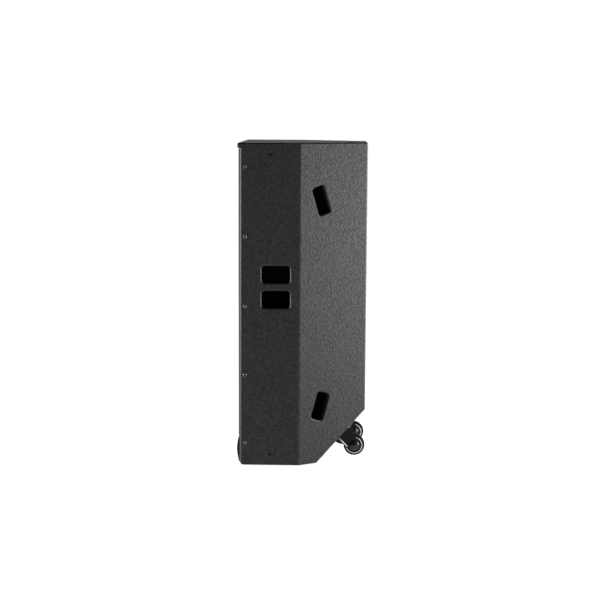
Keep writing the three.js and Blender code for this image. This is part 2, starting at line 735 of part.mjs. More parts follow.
const speaker = new THREE.Group();
speaker.name = 'line_array_speaker';
speaker.add(cabinet);

export default speaker;
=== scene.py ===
"""Looks of the line array speaker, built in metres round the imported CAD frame."""

import json
import math

import bmesh
import bpy
from mathutils import Matrix, Vector


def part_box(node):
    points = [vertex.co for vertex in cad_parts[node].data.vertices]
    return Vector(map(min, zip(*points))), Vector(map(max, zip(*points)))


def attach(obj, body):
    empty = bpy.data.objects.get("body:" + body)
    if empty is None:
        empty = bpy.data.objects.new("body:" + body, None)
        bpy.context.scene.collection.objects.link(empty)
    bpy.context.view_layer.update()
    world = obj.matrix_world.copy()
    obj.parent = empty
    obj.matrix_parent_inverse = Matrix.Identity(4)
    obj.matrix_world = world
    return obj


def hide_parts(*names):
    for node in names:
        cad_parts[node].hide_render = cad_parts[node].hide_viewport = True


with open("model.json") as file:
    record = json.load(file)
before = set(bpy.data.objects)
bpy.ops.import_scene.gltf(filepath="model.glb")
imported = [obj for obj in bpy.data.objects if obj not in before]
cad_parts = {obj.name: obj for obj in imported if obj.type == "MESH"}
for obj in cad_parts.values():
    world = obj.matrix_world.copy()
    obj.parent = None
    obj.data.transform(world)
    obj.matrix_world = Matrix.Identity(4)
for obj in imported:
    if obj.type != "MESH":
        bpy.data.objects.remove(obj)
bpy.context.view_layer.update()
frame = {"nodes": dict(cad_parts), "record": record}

NODES = frame["nodes"]
SIDES = (("right", 1), ("left", -1))
MM = 0.001

# ---------------------------------------------------------------- places from the frame
TOP_LO, TOP_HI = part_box("top_panel")
BOTTOM_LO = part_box("bottom_panel")[0]
GRILLE_LO, GRILLE_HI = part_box("grille")
DISH_LO, DISH_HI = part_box("connection_dish")
HALF = TOP_HI.x
FRONT = BOTTOM_LO.y
LIP_FRONT = TOP_LO.y
BACK = TOP_HI.y
BASE = BOTTOM_LO.z
TOP = TOP_HI.z
MIDDLE = (BASE + TOP) / 2
WALL = 18 * MM
CREASE = FRONT + 224 * MM
REAR_HALF = 125 * MM
SLANT_Y = FRONT + 288 * MM
TAPER_RUN = Vector((REAR_HALF - HALF, BACK - CREASE, 0))
TAPER_ALONG = TAPER_RUN.normalized()
TAPER_NORMAL = Vector((TAPER_ALONG.y, -TAPER_ALONG.x, 0))
HANDLE_Y = FRONT + 134.5 * MM
HANDLE_Z = 672 * MM
HANDLE_SIZE = (103 * MM, 64 * MM)
HANDLE_RISE = 46 * MM
HANDLE_CORNER = 11 * MM
SLOT_SIZE = (51 * MM, 104 * MM)
SLOT_CORNER = 10 * MM
SLOT_ALONG = 90.5 * MM
SLOT_SPREAD = 383 * MM
SLOT_LIFT = 3 * MM
SLOT_TILT = math.radians(18)
PLUG_Y = FRONT + 115.5 * MM
PLUG_HOLE = 7.1 * MM
PLUG_HOLE_REACH = 5 * MM
DISH_HOLE = (150.6 * MM, 120.6 * MM)
DISH_FLANGE_HOLE = (176.6 * MM, 146.6 * MM)
DISH_CORNER = 8 * MM
DISH_REBATE = 2.3 * MM
DISH_FLOOR = DISH_HI.y - 40 * MM
PLUG_HEIGHTS = (BASE + 41 * MM, TOP - 41 * MM)


# ---------------------------------------------------------------- mesh helpers
def new_object(name, bm, smooth=True):
    bmesh.ops.recalc_face_normals(bm, faces=bm.faces)
    mesh = bpy.data.meshes.new(name)
    bm.to_mesh(mesh)
    bm.free()
    for polygon in mesh.polygons:
        polygon.use_smooth = smooth
    obj = bpy.data.objects.new(name, mesh)
    bpy.context.scene.collection.objects.link(obj)
    return obj


def prism_into(bm, points, vector):
    """Adds a closed prism on a flat ring of points, swept by a vector."""
    low = [bm.verts.new(p) for p in points]
    high = [bm.verts.new(Vector(p) + vector) for p in points]
    bm.faces.new(low)
    bm.faces.new(high)
    count = len(points)
    for i in range(count):
        j = (i + 1) % count
        bm.faces.new((low[i], low[j], high[j], high[i]))


def rounded_ring(width, height, radius, steps=6):
    """Corner-rounded rectangle as (a, b) pairs, anticlockwise."""
    ring = []
    centres = ((1, 1, 0), (-1, 1, 90), (-1, -1, 180), (1, -1, 270))
    for sa, sb, start in centres:
        ca = sa * (width / 2 - radius)
        cb = sb * (height / 2 - radius)
        for k in range(steps + 1):
            angle = math.radians(start + 90 * k / steps)
            ring.append((ca + radius * math.cos(angle), cb + radius * math.sin(angle)))
    return ring


def stitch_rings(bm, pairs, segments):
    """Joins pairs of rings of vertices; a ring of one vertex is a pole."""
    for a, b in pairs:
        for k in range(segments):
            m = (k + 1) % segments
            if len(a) == 1 and len(b) == 1:
                break
            if len(a) == 1:
                bm.faces.new((a[0], b[k], b[m]))
            elif len(b) == 1:
                bm.faces.new((a[k], a[m], b[0]))
            else:
                bm.faces.new((a[k], a[m], b[m], b[k]))


def revolve_into(bm, profile, segments, matrix, closed=True):
    """Adds a turned body: (radius, height) pairs round the matrix's local Z."""
    rows = []
    for radius, height in profile:
        if radius < 1e-7:
            rows.append([bm.verts.new(matrix @ Vector((0, 0, height)))])
            continue
        rows.append([
            bm.verts.new(matrix @ Vector((
                radius * math.cos(2 * math.pi * k / segments),
                radius * math.sin(2 * math.pi * k / segments),
                height,
            )))
            for k in range(segments)
        ])
    pairs = list(zip(rows, rows[1:]))
    if closed and len(rows[0]) > 1 and len(rows[-1]) > 1:
        pairs.append((rows[-1], rows[0]))
    stitch_rings(bm, pairs, segments)


def bevel(obj, width, segments=3, angle=30):
    modifier = obj.modifiers.new("rounded_edges", "BEVEL")
    modifier.width = width
    modifier.segments = segments
    modifier.limit_method = "ANGLE"
    modifier.angle_limit = math.radians(angle)
    modifier.use_clamp_overlap = True
    modifier.harden_normals = True
    return modifier


def baked_copy(obj):
    """The object's mesh with its modifiers applied; the object itself is removed."""
    graph = bpy.context.evaluated_depsgraph_get()
    mesh = bpy.data.meshes.new_from_object(obj.evaluated_get(graph))
    name = obj.name
    bpy.data.objects.remove(obj)
    done = bpy.data.objects.new(name, mesh)
    bpy.context.scene.collection.objects.link(done)
    return done


def cut(obj, cutter, operation="DIFFERENCE"):
    modifier = obj.modifiers.new("cut", "BOOLEAN")
    modifier.operation = operation
    modifier.object = cutter
    modifier.solver = "EXACT"
    done = baked_copy(obj)
    bpy.data.objects.remove(cutter)
    return done


# ---------------------------------------------------------------- materials
def node_material(name):
    material = bpy.data.materials.new(name)
    material.use_nodes = True
    tree = material.node_tree
    return material, tree, tree.nodes["Principled BSDF"]


def noise(tree, coords, scale, detail=2.0, roughness=0.5):
    node = tree.nodes.new("ShaderNodeTexNoise")
    node.inputs["Scale"].default_value = scale
    node.inputs["Detail"].default_value = detail
    node.inputs["Roughness"].default_value = roughness
    tree.links.new(coords, node.inputs["Vector"])
    return node.outputs["Fac"]


def spread(tree, value, low, high, to_low, to_high):
    node = tree.nodes.new("ShaderNodeMapRange")
    node.inputs["From Min"].default_value = low
    node.inputs["From Max"].default_value = high
    node.inputs["To Min"].default_value = to_low
    node.inputs["To Max"].default_value = to_high
    tree.links.new(value, node.inputs["Value"])
    return node.outputs["Result"]


def arithmetic(tree, operation, a, b):
    node = tree.nodes.new("ShaderNodeMath")
    node.operation = operation
    for socket, value in zip(node.inputs, (a, b)):
        if isinstance(value, (int, float)):
            socket.default_value = value
        else:
            tree.links.new(value, socket)
    return node.outputs[0]


def blend_colours(tree, factor, first, second):
    node = tree.nodes.new("ShaderNodeMix")
    node.data_type = "RGBA"
    for socket, value in ((node.inputs[6], first), (node.inputs[7], second)):
        if isinstance(value, tuple):
            socket.default_value = (*value, 1)
        else:
            tree.links.new(value, socket)
    tree.links.new(factor, node.inputs[0])
    return node.outputs[2]


def edge_wear(tree, radius, low, high):
    """0 on flat ground and 1 on the rounded edges."""
    softened = tree.nodes.new("ShaderNodeBevel")
    softened.samples = 4
    softened.inputs["Radius"].default_value = radius
    geometry = tree.nodes.new("ShaderNodeNewGeometry")
    dot = tree.nodes.new("ShaderNodeVectorMath")
    dot.operation = "DOT_PRODUCT"
    tree.links.new(softened.outputs["Normal"], dot.inputs[0])
    tree.links.new(geometry.outputs["True Normal"], dot.inputs[1])
    return spread(tree, dot.outputs["Value"], high, low, 0, 1)


def surface(name, dark, light, roughness, metallic=0.0, grain=(400, 60), bump=0.25, depth=0.0004,
            specular=0.5, wear=None, wear_colour=None, coat=0.0):
    """A mottled surface with a fine bump, and paler edges where wear is given."""
    material, tree, shader = node_material(name)
    coords = tree.nodes.new("ShaderNodeTexCoord").outputs["Object"]
    fine = noise(tree, coords, grain[0], 3.0, 0.6)
    broad = noise(tree, coords, grain[1], 3.0, 0.55)
    mixed = arithmetic(tree, "ADD", arithmetic(tree, "MULTIPLY", fine, 0.6),
                       arithmetic(tree, "MULTIPLY", broad, 0.4))
    factor = spread(tree, mixed, 0.32, 0.68, 0, 1)
    colour = blend_colours(tree, factor, dark, light)
    rough = spread(tree, broad, 0.3, 0.7, roughness[0], roughness[1])
    if wear:
        worn = edge_wear(tree, wear, 0.80, 0.995)
        patchy = arithmetic(tree, "MULTIPLY", worn, spread(tree, broad, 0.35, 0.7, 0.2, 1))
        colour = blend_colours(tree, patchy, colour, wear_colour)
    tree.links.new(colour, shader.inputs["Base Color"])
    tree.links.new(rough, shader.inputs["Roughness"])
    shader.inputs["Metallic"].default_value = metallic
    shader.inputs["Specular IOR Level"].default_value = specular
    shader.inputs["Coat Weight"].default_value = coat
    relief = tree.nodes.new("ShaderNodeBump")
    relief.inputs["Strength"].default_value = bump
    relief.inputs["Distance"].default_value = depth
    tree.links.new(fine, relief.inputs["Height"])
    tree.links.new(relief.outputs["Normal"], shader.inputs["Normal"])
    return material


def coating_material(name, relief_share, roughness, specular):
    """Sprayed black coating: a pebbled skin over plywood, glossier on its lumps than between them."""
    material, tree, shader = node_material(name)
    coords = tree.nodes.new("ShaderNodeTexCoord").outputs["Object"]
    pebbles = tree.nodes.new("ShaderNodeTexVoronoi")
    pebbles.feature = "SMOOTH_F1"
    pebbles.inputs["Scale"].default_value = 330
    pebbles.inputs["Smoothness"].default_value = 0.6
    pebbles.inputs["Randomness"].default_value = 1.0
    tree.links.new(coords, pebbles.inputs["Vector"])
    lumps = noise(tree, coords, 120, 2.0, 0.55)
    patches = noise(tree, coords, 9, 3.0, 0.55)
    height = arithmetic(tree, "ADD", arithmetic(tree, "MULTIPLY", pebbles.outputs["Distance"], 0.3), lumps)
    tint = spread(tree, lumps, 0.34, 0.66, 0, 1)
    colour = blend_colours(tree, tint, (0.0056, 0.0063, 0.0060), (0.0220, 0.0236, 0.0227))
    broad_tint = spread(tree, patches, 0.35, 0.65, 0, 0.3)
    colour = blend_colours(tree, broad_tint, colour, (0.0175, 0.0186, 0.0180))
    tree.links.new(colour, shader.inputs["Base Color"])
    tree.links.new(spread(tree, lumps, 0.3, 0.7, *roughness), shader.inputs["Roughness"])
    shader.inputs["Specular IOR Level"].default_value = specular
    relief = tree.nodes.new("ShaderNodeBump")
    relief.inputs["Strength"].default_value = relief_share
    relief.inputs["Distance"].default_value = 0.0014
    tree.links.new(height, relief.inputs["Height"])
    tree.links.new(relief.outputs["Normal"], shader.inputs["Normal"])
    return material


LOOKS = {
    "textured_coating": coating_material("textured_coating_look", 1.0, (0.60, 0.44), 0.25),
    "grille_steel": surface("grille_steel_look", (0.012, 0.012, 0.013), (0.02, 0.02, 0.021), (0.38, 0.5),
                            0.2, (700, 40), 0.15, 0.0002, wear=0.0006, wear_colour=(0.05, 0.05, 0.052)),
    "foam": surface("foam_look", (0.002, 0.002, 0.002), (0.009, 0.009, 0.009), (0.9, 1.0), 0.0,
                    (900, 200), 1.0, 0.0012, specular=0.1),
    "plated_steel": surface("plated_steel_look", (0.30, 0.31, 0.32), (0.46, 0.47, 0.48), (0.28, 0.45), 0.9,
                            (900, 120), 0.1, 0.0001, wear=0.001, wear_colour=(0.6, 0.6, 0.62)),
    "black_steel": surface("black_steel_look", (0.010, 0.010, 0.011), (0.02, 0.02, 0.021), (0.32, 0.48), 0.3,
                           (800, 60), 0.15, 0.00015, wear=0.0012, wear_colour=(0.09, 0.09, 0.092)),
    "worn_steel": surface("worn_steel_look", (0.17, 0.17, 0.172), (0.26, 0.26, 0.262), (0.2, 0.28), 1.0,
                          (900, 60), 0.1, 0.0001),
    "moulded_plastic": surface("moulded_plastic_look", (0.008, 0.008, 0.0085), (0.014, 0.014, 0.0145),
                               (0.5, 0.65), 0.0, (1100, 90), 0.3, 0.0002, wear=0.0015,
                               wear_colour=(0.03, 0.03, 0.031)),
    "rubber": surface("rubber_look", (0.004, 0.004, 0.004), (0.010, 0.010, 0.010), (0.6, 0.8), 0.0,
                      (600, 50), 0.35, 0.0003, specular=0.06, wear=0.0015,
                      wear_colour=(0.016, 0.016, 0.0155)),
    "wheel_hub": surface("wheel_hub_look", (0.012, 0.0125, 0.013), (0.022, 0.0225, 0.023), (0.4, 0.5), 0.0,
                         (900, 80), 0.2, 0.0002, specular=0.3, wear=0.0015,
                         wear_colour=(0.04, 0.04, 0.041)),
    "cone_paper": surface("cone_paper_look", (0.012, 0.012, 0.012), (0.026, 0.026, 0.025), (0.75, 0.9), 0.0,
                          (500, 70), 0.6, 0.0004),
    "cast_basket": surface("cast_basket_look", (0.02, 0.02, 0.022), (0.035, 0.035, 0.037), (0.4, 0.55), 0.6,
                           (700, 80), 0.4, 0.0003, wear=0.0015, wear_colour=(0.12, 0.12, 0.125)),
    "circuit_board": surface("circuit_board_look", (0.008, 0.05, 0.02), (0.014, 0.075, 0.03), (0.3, 0.5), 0.0,
                             (300, 60), 0.2, 0.0002),
}
EDGE_LOOK = coating_material("smooth_edge_look", 0.25, (0.40, 0.30), 0.35)
# Near-black for the handle and slot cups: their black plastic, darkened further as painted shade in the
# recesses.
CUP_PAINTED_SHADE_LOOK = surface("cup_painted_shade_look", (0.0008, 0.0008, 0.0008), (0.0025, 0.0025, 0.0025), (0.8, 0.95), 0.0,
                   (700, 90), 0.6, 0.0004, specular=0.08)
# Light grey for the wheel rims; on the fork beads the same pale grey is a painted highlight.
RIM_GREY_AND_BEAD_HIGHLIGHT_LOOK = surface("wheel_rim_grey_and_bead_highlight_look", (0.56, 0.565, 0.57), (0.70, 0.705, 0.71), (0.3, 0.4), 0.15,
                   (900, 80), 0.1, 0.0001)
FORK_LOOK = surface("fork_look", (0.003, 0.003, 0.0032), (0.007, 0.007, 0.0074), (0.5, 0.62), 0.0,
                    (800, 60), 0.2, 0.0002, specular=0.15, wear=0.0012, wear_colour=(0.02, 0.02, 0.021))
DOME_LOOK = surface("fork_dome_look", (0.003, 0.003, 0.0032), (0.007, 0.007, 0.0074), (0.24, 0.3), 0.0,
                    (900, 80), 0.05, 0.0001, specular=0.33)


def dress(obj, look):
    obj.data.materials.clear()
    obj.data.materials.append(look)


def add_piece(obj, body, slot, replaced=(), look=None):
    if not obj.data.materials:
        dress(obj, look or LOOKS[slot])
    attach(obj, body)
    if replaced:
        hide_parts(*replaced)
    return obj


# ---------------------------------------------------------------- cabinet shell
def plan_ring(front, inset=0.0):
    """Corners of the cabinet's plan, drawn in by a wall thickness."""
    half = HALF - inset
    crease_y = CREASE - (inset - TAPER_NORMAL.x * inset) / TAPER_NORMAL.y
    back_y = BACK - inset
    rear = HALF - (inset + TAPER_NORMAL.y * (back_y - CREASE)) / TAPER_NORMAL.x
    right = [(half, front), (half, crease_y), (rear, back_y)]
    return [(-half, front)] + right + [(-rear, back_y), (-half, crease_y)]


def upright_prism(name, ring, bottom, top):
    bm = bmesh.new()
    prism_into(bm, [(x, y, bottom) for x, y in ring], Vector((0, 0, top - bottom)))
    return new_object(name, bm, False)


def slant_cutter(inset):
    """Everything below and behind the slanted corner, grown inwards by inset."""
    y = SLANT_Y - inset * math.sqrt(2)
    reach = 2.0
    ring = [(y - reach, BASE - reach), (y + reach, BASE + reach), (y + 3 * reach, BASE + reach),
            (y + 3 * reach, BASE - reach)]
    bm = bmesh.new()
    prism_into(bm, [(-1, a, b) for a, b in ring], Vector((2, 0, 0)))
    return new_object("slant_cutter", bm, False)


def taper_matrix(sign, height, tilt):
    """Local x along the right tapered wall, y up, z outwards; mirrored for the left."""
    basis = Matrix((
        (TAPER_ALONG.x, 0, TAPER_NORMAL.x, HALF + TAPER_ALONG.x * SLOT_ALONG),
        (TAPER_ALONG.y, 0, TAPER_NORMAL.y, CREASE + TAPER_ALONG.y * SLOT_ALONG),
        (0, 1, 0, height),
        (0, 0, 0, 1),
    ))
    mirror = Matrix.Diagonal((sign, 1, 1, 1))
    return mirror @ basis @ Matrix.Rotation(tilt, 4, "Z")


SLOTS = (
    ("upper", MIDDLE + SLOT_LIFT + SLOT_SPREAD, SLOT_TILT),
    ("lower", MIDDLE + SLOT_LIFT - SLOT_SPREAD, -SLOT_TILT),
)


def with_openings(shell):
    """The shell with its handle, slot, plug and connection-dish openings cut."""
    bm = bmesh.new()
    for _, sign in SIDES:
        for rise in (-HANDLE_RISE, HANDLE_RISE):
            ring = rounded_ring(*HANDLE_SIZE, HANDLE_CORNER)
            points = [(sign * (HALF - 2 * WALL), HANDLE_Y + a, HANDLE_Z + rise + b) for a, b in ring]
            prism_into(bm, points, Vector((sign * 3 * WALL, 0, 0)))
        for _, height, tilt in SLOTS:
            matrix = taper_matrix(sign, height, tilt)
            ring = rounded_ring(*SLOT_SIZE, SLOT_CORNER)
            points = [matrix @ Vector((a, b, -2 * WALL)) for a, b in ring]
            sweep = matrix.to_3x3() @ Vector((0, 0, 3 * WALL))
            prism_into(bm, points, sweep)
        for height in PLUG_HEIGHTS:
            spot = Matrix.Translation((sign * HALF, PLUG_Y, height))
            place = spot @ Matrix.Rotation(math.pi / 2, 4, "Y")
            reach = PLUG_HOLE_REACH
            profile = [(0, -reach), (PLUG_HOLE, -reach), (PLUG_HOLE, reach), (0, reach)]
            revolve_into(bm, profile, 32, place)
    centre = (DISH_LO + DISH_HI) / 2
    ring = rounded_ring(*DISH_HOLE, DISH_CORNER)
    prism_into(bm, [(a, BACK - 2 * WALL, centre.z + b) for a, b in ring], Vector((0, 4 * WALL, 0)))
    shell = cut(shell, new_object("shell_cutters", bm, False))
    rebate = bmesh.new()
    ring = rounded_ring(*DISH_FLANGE_HOLE, DISH_CORNER)
    points = [(a, BACK - DISH_REBATE, centre.z + b) for a, b in ring]
    prism_into(rebate, points, Vector((0, WALL, 0)))
    return cut(shell, new_object("dish_rebate", rebate, False))


def outer_planes():
    """(normal, distance) of each outer face of the shell."""
    planes = [
        (Vector((1, 0, 0)), HALF), (Vector((-1, 0, 0)), HALF), (Vector((0, -1, 0)), -FRONT),
        (Vector((0, -1, 0)), -LIP_FRONT), (Vector((0, 1, 0)), BACK), (Vector((0, 0, 1)), TOP),
        (Vector((0, 0, -1)), -BASE), (Vector((0, 1, -1)).normalized(), (SLANT_Y - BASE) / math.sqrt(2)),
    ]
    for sign in (1, -1):
        normal = Vector((sign * TAPER_NORMAL.x, TAPER_NORMAL.y, 0))
        planes.append((normal, normal.dot(Vector((sign * HALF, CREASE, 0)))))
    return planes


ROUNDING = 14.5 * MM
EDGE_PROFILE = 0.34
OPENING_SHARE = 0.35
FRONT_SHARE = 1.0
TOP_SHARE = 0.33
REAR_SHARE = 0.35
LOW_SHARE = 0.10
TOE_SHARE = 0.8
CREASE_SHARE = 0.27
LIP_SHARE = 0.27
PLUG_SHARE = 0.05


def corner_share(middle, span):
    """How much of the full rounding an edge between two outer faces gets."""
    if span.z > 100 * MM:
        if abs(middle.y - CREASE) < 1 * MM:
            return CREASE_SHARE
        return FRONT_SHARE if middle.y < CREASE else REAR_SHARE
    if middle.z > TOP - 1 * MM:
        return TOP_SHARE
    if middle.y < FRONT + 1 * MM and middle.z > MIDDLE:
        return LIP_SHARE
    if middle.y < FRONT + 1 * MM:
        return TOE_SHARE
    return LOW_SHARE


def edge_weights(mesh):
    """Bevel weights: full on the cabinet's corners, less round its openings; the rest stay sharp."""
    planes = outer_planes()
    weights = mesh.attributes.new("bevel_weight_edge", "FLOAT", "EDGE")
    crisp = mesh.attributes.new("sharp_edge", "BOOLEAN", "EDGE")
    bm = bmesh.new()
    bm.from_mesh(mesh)
    for edge in bm.edges:
        if len(edge.link_faces) != 2 or edge.calc_face_angle(0) < math.radians(20):
            continue
        ends = [v.co for v in edge.verts]
        touching = sum(all(abs(n.dot(p) - d) < 0.05 * MM for p in ends) for n, d in planes)
        middle = (ends[0] + ends[1]) / 2
        in_rebate = middle.y > BACK - 4 * MM and abs(middle.x) < 90 * MM and DISH_LO.z < middle.z < DISH_HI.z
        near_plug = any(
            abs(middle.y - PLUG_Y) < 12 * MM and abs(middle.z - height) < 12 * MM for height in PLUG_HEIGHTS)
        on_rim = middle.y < FRONT + 1 * MM or abs(middle.y - BACK) < 1 * MM
        share = 0.0
        if near_plug:
            share = PLUG_SHARE if touching else 0.0
        elif touching >= 2:
            span = Vector([abs(a - b) for a, b in zip(*ends)])
            share = corner_share(middle, span)
        elif touching == 1 and not on_rim and not in_rebate:
            share = OPENING_SHARE
        weights.data[edge.index].value = share
        crisp.data[edge.index].value = share == 0.0
    bm.free()


def cabinet_shell():
    shell = upright_prism("cabinet_shell", plan_ring(FRONT), BASE, TOP)
    lid = upright_prism("lid", plan_ring(LIP_FRONT), TOP - WALL, TOP)
    shell = cut(shell, lid, "UNION")
    shell = cut(shell, slant_cutter(0))
    room = upright_prism("room", plan_ring(FRONT - 0.1, WALL), BASE + WALL, TOP - WALL)
    room = cut(room, slant_cutter(WALL))
    shell = cut(shell, room)
    shell = with_openings(shell)
    bm = bmesh.new()
    bm.from_mesh(shell.data)
    bmesh.ops.remove_doubles(bm, verts=bm.verts, dist=0.02 * MM)
    bmesh.ops.dissolve_limit(bm, angle_limit=math.radians(0.5), verts=bm.verts, edges=bm.edges)
    bm.to_mesh(shell.data)
    bm.free()
    edge_weights(shell.data)
    for polygon in shell.data.polygons:
        polygon.use_smooth = True
    rounding = shell.modifiers.new("rounded_edges", "BEVEL")
    rounding.limit_method = "WEIGHT"
    rounding.width = ROUNDING
    rounding.segments = 5
    rounding.use_clamp_overlap = False
    rounding.harden_normals = True
    rounding.profile = EDGE_PROFILE
    rounding.material = 1
    shell.data.materials.clear()
    shell.data.materials.append(LOOKS["textured_coating"])
    shell.data.materials.append(EDGE_LOOK)
    panels = ["top_panel", "bottom_panel", "back_panel", "slant_panel"]
    panels += [f"{kind}_panel_{side}" for kind in ("side", "taper") for side, _ in SIDES]
    return add_piece(shell, "cabinet", "textured_coating", panels)


cabinet_shell()


# ---------------------------------------------------------------- grille
GRILLE_PITCH = 11.6 * MM
GRILLE_HOLE = 9.0 * MM
GRILLE_SHEET = 1.4 * MM
GRILLE_BORDER = 15 * MM
HEM_WIDTH = 8 * MM
HEM_PROUD = 2.4 * MM


def perforated_sheet():
    """Hexagonal cells with hexagonal holes, over the whole face of the grille."""
    bm = bmesh.new()
    width = GRILLE_HI.x - GRILLE_LO.x
    height = GRILLE_HI.z - GRILLE_LO.z
    front = GRILLE_LO.y
    row_step = GRILLE_PITCH * math.sqrt(3) / 2
    rows = int((height - GRILLE_BORDER) / row_step)
    columns = int((width - GRILLE_BORDER) / GRILLE_PITCH)
    outer = GRILLE_PITCH / math.sqrt(3)
    inner = GRILLE_HOLE / math.sqrt(3)
    corners = [math.radians(30 + 60 * k) for k in range(6)]
    for row in range(rows):
        z = MIDDLE + (row - (rows - 1) / 2) * row_step
        shift = GRILLE_PITCH / 4 * (1 if row % 2 else -1)
        for column in range(columns):
            x = (column - (columns - 1) / 2) * GRILLE_PITCH + shift
            ring = [bm.verts.new((x + outer * math.cos(c), front, z + outer * math.sin(c))) for c in corners]
            hole = [bm.verts.new((x + inner * math.cos(c), front, z + inner * math.sin(c))) for c in corners]
            for k in range(6):
                m = (k + 1) % 6
                bm.faces.new((ring[k], ring[m], hole[m], hole[k]))
    bmesh.ops.remove_doubles(bm, verts=bm.verts, dist=0.05 * MM)
    faces = list(bm.faces)
    result = bmesh.ops.extrude_face_region(bm, geom=faces)
    moved = [g for g in result["geom"] if isinstance(g, bmesh.types.BMVert)]
    bmesh.ops.translate(bm, verts=moved, vec=(0, GRILLE_SHEET, 0))
    return new_object("grille_perforated", bm, False)


def grille_frame():
    """The border round the holes and the two side returns, as one folded strip."""
    bm = bmesh.new()
    front = GRILLE_LO.y - 0.3 * MM
    depth = GRILLE_SHEET + 0.6 * MM
    lo, hi = GRILLE_LO, GRILLE_HI
    outer = [(lo.x, lo.z), (hi.x, lo.z), (hi.x, hi.z), (lo.x, hi.z)]
    border = GRILLE_BORDER
    inner = [(lo.x + border, lo.z + border), (hi.x - border, lo.z + border),
             (hi.x - border, hi.z - border), (lo.x + border, hi.z - border)]
    layers = []
    for y in (front, front + depth):
        layers.append([[bm.verts.new((x, y, z)) for x, z in ring] for ring in (outer, inner)])
    for k in range(4):
        m = (k + 1) % 4
        for (ring, hole) in layers:
            bm.faces.new((ring[k], ring[m], hole[m], hole[k]))
        for part in (0, 1):
            a, b = layers[0][part], layers[1][part]
            bm.faces.new((a[k], a[m], b[m], b[k]))
    obj = new_object("grille_frame", bm, False)
    for sign in (1, -1):
        edge = sign * hi.x
        fold = bmesh.new()
        ring = [(edge, lo.z), (edge - sign * 1.5 * MM, lo.z), (edge - sign * 1.5 * MM, hi.z), (edge, hi.z)]
        prism_into(fold, [(x, front + depth * 0.9, z) for x, z in ring], Vector((0, hi.y - front - depth, 0)))
        side = new_object("fold", fold, False)
        obj = cut(obj, side, "UNION")
    obj.data.materials.clear()
    bevel(obj, 0.8 * MM, 2)
    return obj


def grille_hem():
    """The rolled hem down both sides of the grille, standing just proud of the cabinet's front edges."""
    bm = bmesh.new()
    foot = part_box("front_bumper_right")[1].z + 3 * MM
    head = TOP - WALL - 4 * MM
    edge = GRILLE_HI.x - 0.4 * MM
    depth = GRILLE_LO.y - FRONT + HEM_PROUD
    for sign in (1, -1):
        ring = [(sign * (edge - HEM_WIDTH + a), GRILLE_LO.y - 0.4 * MM - depth / 2 + b)
                for a, b in rounded_ring(HEM_WIDTH, depth, 1.6 * MM, 5)]
        prism_into(bm, [(x + sign * HEM_WIDTH / 2, y, foot) for x, y in ring], Vector((0, 0, head - foot)))
    hem = new_object("grille_hem", bm, False)
    bevel(hem, 1.0 * MM, 2, 60)
    return hem


add_piece(perforated_sheet(), "cabinet", "grille_steel", ["grille"])
add_piece(grille_hem(), "cabinet", "grille_steel")
add_piece(grille_frame(), "cabinet", "grille_steel")


# ---------------------------------------------------------------- screws, bolts
def cross_screw(name, place, radius, rise):
    """A domed head with a cross recess; local Z points out of the surface."""
    bm = bmesh.new()
    segments = 32
    profile = [(0, rise)]
    profile += [(radius * s, rise * math.sqrt(1 - s * s * 0.9)) for s in (0.25, 0.5, 0.7, 0.85, 0.95)]
    profile += [(radius, rise * 0.18), (radius, -1.2 * MM), (0, -1.2 * MM)]
    revolve_into(bm, profile, segments, place)
    head = new_object(name, bm)
    slot = bmesh.new()
    for turn in (0, math.pi / 2):
        matrix = place @ Matrix.Rotation(turn + 0.4, 4, "Z")
        a, b = radius * 0.62, radius * 0.13
        ring = [matrix @ Vector(p) for p in ((-a, -b, rise * 0.2), (a, -b, rise * 0.2), (a, b, rise * 0.2),
                                            (-a, b, rise * 0.2))]
        prism_into(slot, ring, matrix.to_3x3() @ Vector((0, 0, rise * 2)))
        if turn == 0:
            first = new_object("recess", slot, False)
            slot = bmesh.new()
    second = new_object("recess", slot, False)
    head = cut(cut(head, first), second)
    head.data.materials.clear()
    return head


def finish_washer(name, place):
    """A cupped washer round a screw head."""
    bm = bmesh.new()
    profile = [(6.6, -0.3), (6.6, 0.35), (6.0, 1.1), (5.2, 1.5), (4.5, 1.4), (3.9, 0.4), (3.9, -0.3)]
    revolve_into(bm, [(r * MM, h * MM) for r, h in profile], 40, place)
    return new_object(name, bm)


def side_place(sign, y, z):
    return Matrix.Translation((sign * HALF, y, z)) @ Matrix.Rotation(sign * math.pi / 2, 4, "Y")


for side, sign in SIDES:
    for i in range(1, 6):
        node = f"grille_screw_{side}_{i}"
        lo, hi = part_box(node)
        centre = (lo + hi) / 2
        place = side_place(sign, centre.y, centre.z)
        head = cross_screw(f"pan_screw_{side}_{i}", place, 3.6 * MM, 1.5 * MM)
        add_piece(head, "cabinet", "plated_steel", [node], LOOKS["black_steel"])
        washer = finish_washer(f"finish_washer_{side}_{i}", place)
        add_piece(washer, "cabinet", "plated_steel", look=LOOKS["worn_steel"])


# ---------------------------------------------------------------- casters
CASTER_ALONG = 128.6 * MM
CASTER_PLATE = (66 * MM, 90 * MM, 3 * MM)
AXLE_DROP = 70 * MM
FORK_INNER = 18 * MM
FORK_SHEET = 2.5 * MM
LEG_HALF = 26.5 * MM
GUSSET_HALF = 43 * MM
GUSSET_DROP = 38 * MM
BEAD_RADIUS = 2.4 * MM
BEAD_SETBACK = 5.5 * MM
DOME_SPHERE = 26.5
DOME_RADIUS = 20
RIM_START = 26.9 * MM
RIB_COUNT = 6
RIB_HALF = 1.2 * MM
RIB_REACH = (10.5 * MM, 27.0 * MM)
RIB_FOOT = 5.6 * MM
RIB_RISE = 5.2 * MM
PLATE_SCREWS = (26 * MM, 37 * MM)
UP_SLANT = Vector((0, 1, 1)).normalized()
OUT_OF_SLANT = Vector((0, 1, -1)).normalized()


def wheel_place(side):
    lo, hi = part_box(f"wheel_tyre_{side}")
    return Matrix.Translation((lo + hi) / 2) @ Matrix.Rotation(math.pi / 2, 4, "Y")


